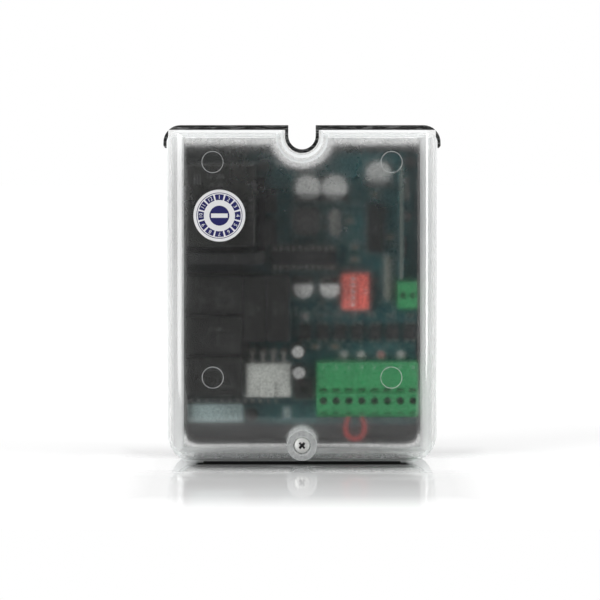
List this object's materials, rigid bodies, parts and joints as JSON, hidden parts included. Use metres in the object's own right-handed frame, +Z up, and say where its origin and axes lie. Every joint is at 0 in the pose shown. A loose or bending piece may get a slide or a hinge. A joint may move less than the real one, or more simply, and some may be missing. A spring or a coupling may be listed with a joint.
{
  "type": "motor control panel",
  "caption": "Gate motor control box: a clear moulded cover with a cable notch, screwed over a black tray that holds a populated circuit board.",
  "frame": {"origin": "middle of the footprint on the floor, under the centre of the bounding box", "axes": "+Z up, the box standing on the cover's bottom edge; +Y from the front face to the rear; +X to the right as the front is seen"},
  "size_m": [0.1114, 0.0452, 0.1327],
  "materials": {
    "clear_polycarbonate": "clear moulded, frosted on its inner face",
    "sticker_paper": "printed vinyl paper",
    "bright_steel": "zinc plated",
    "black_tray_plastic": "fine texture",
    "board_laminate": "dark teal solder mask",
    "relay_plastic": "fine texture",
    "black_aluminium": "black anodised",
    "chip_plastic": "moulded epoxy",
    "ferrite": "sintered",
    "tinned_metal": "tinned",
    "lacquer": "dipped",
    "lamp_epoxy": "diffused epoxy",
    "chip_ceramic": "fired",
    "green_plastic": "moulded",
    "red_insulation": "smooth",
    "white_nylon": "moulded",
    "red_plastic": "moulded",
    "can_aluminium": "satin"
  },
  "bodies": {
    "box": {"clear_cover": "clear_polycarbonate", "date_sticker": "sticker_paper", "cover_screw": "bright_steel", "carrier_tray": "black_tray_plastic", "board_screws": "bright_steel", "circuit_board": "board_laminate", "power_relay": "relay_plastic", "bridge_rectifier": "relay_plastic", "heat_sink": "black_aluminium", "power_transistors": "chip_plastic", "power_inductor": "ferrite", "microcontroller_socket": "chip_plastic", "microcontroller": "chip_plastic", "logic_chip": "chip_plastic", "crystal": "tinned_metal", "resistor_pack": "lacquer", "optocouplers": "chip_plastic", "status_lamps": "lamp_epoxy", "chip_resistors": "chip_ceramic", "chip_capacitors": "chip_ceramic", "receiver_header": "relay_plastic", "receiver_card": "board_laminate", "receiver_parts": "tinned_metal", "terminal_header": "green_plastic", "terminal_plug": "green_plastic", "terminal_contacts": "tinned_metal", "terminal_screws": "bright_steel", "wire_link": "red_insulation", "aerial_terminal": "green_plastic", "aerial_screws": "bright_steel", "power_connector": "white_nylon", "power_pins": "tinned_metal", "switch_body": "red_plastic", "button_body": "relay_plastic", "cube_relay_1": "relay_plastic", "cube_relay_2": "relay_plastic", "cube_relay_3": "relay_plastic", "slim_relay_1": "relay_plastic", "slim_relay_2": "relay_plastic", "filter_capacitor_1": "can_aluminium", "filter_capacitor_2": "can_aluminium", "filter_capacitor_3": "can_aluminium", "output_capacitor_1": "can_aluminium", "output_capacitor_2": "can_aluminium", "timing_capacitor_1": "can_aluminium", "timing_capacitor_2": "can_aluminium"},
    "slider_1": {"switch_slider_1": "white_nylon"},
    "slider_2": {"switch_slider_2": "white_nylon"},
    "slider_3": {"switch_slider_3": "white_nylon"},
    "slider_4": {"switch_slider_4": "white_nylon"},
    "slider_5": {"switch_slider_5": "white_nylon"},
    "plunger": {"button_plunger": "relay_plastic"}
  },
  "joints": [
    {"name": "slider_1_slide", "type": "slide", "parent": "box", "child": "slider_1", "axis": [1, 0, 0], "range_m": [0, 0.0018]},
    {"name": "slider_2_slide", "type": "slide", "parent": "box", "child": "slider_2", "axis": [1, 0, 0], "range_m": [0, 0.0018]},
    {"name": "slider_3_slide", "type": "slide", "parent": "box", "child": "slider_3", "axis": [1, 0, 0], "range_m": [0, 0.0018]},
    {"name": "slider_4_slide", "type": "slide", "parent": "box", "child": "slider_4", "axis": [1, 0, 0], "range_m": [0, 0.0018]},
    {"name": "slider_5_slide", "type": "slide", "parent": "box", "child": "slider_5", "axis": [1, 0, 0], "range_m": [0, 0.0018]},
    {"name": "plunger_press", "type": "slide", "parent": "box", "child": "plunger", "axis": [0, 1, 0], "range_m": [0, 0.0003], "stiffness_N_per_m": 300}
  ]
}
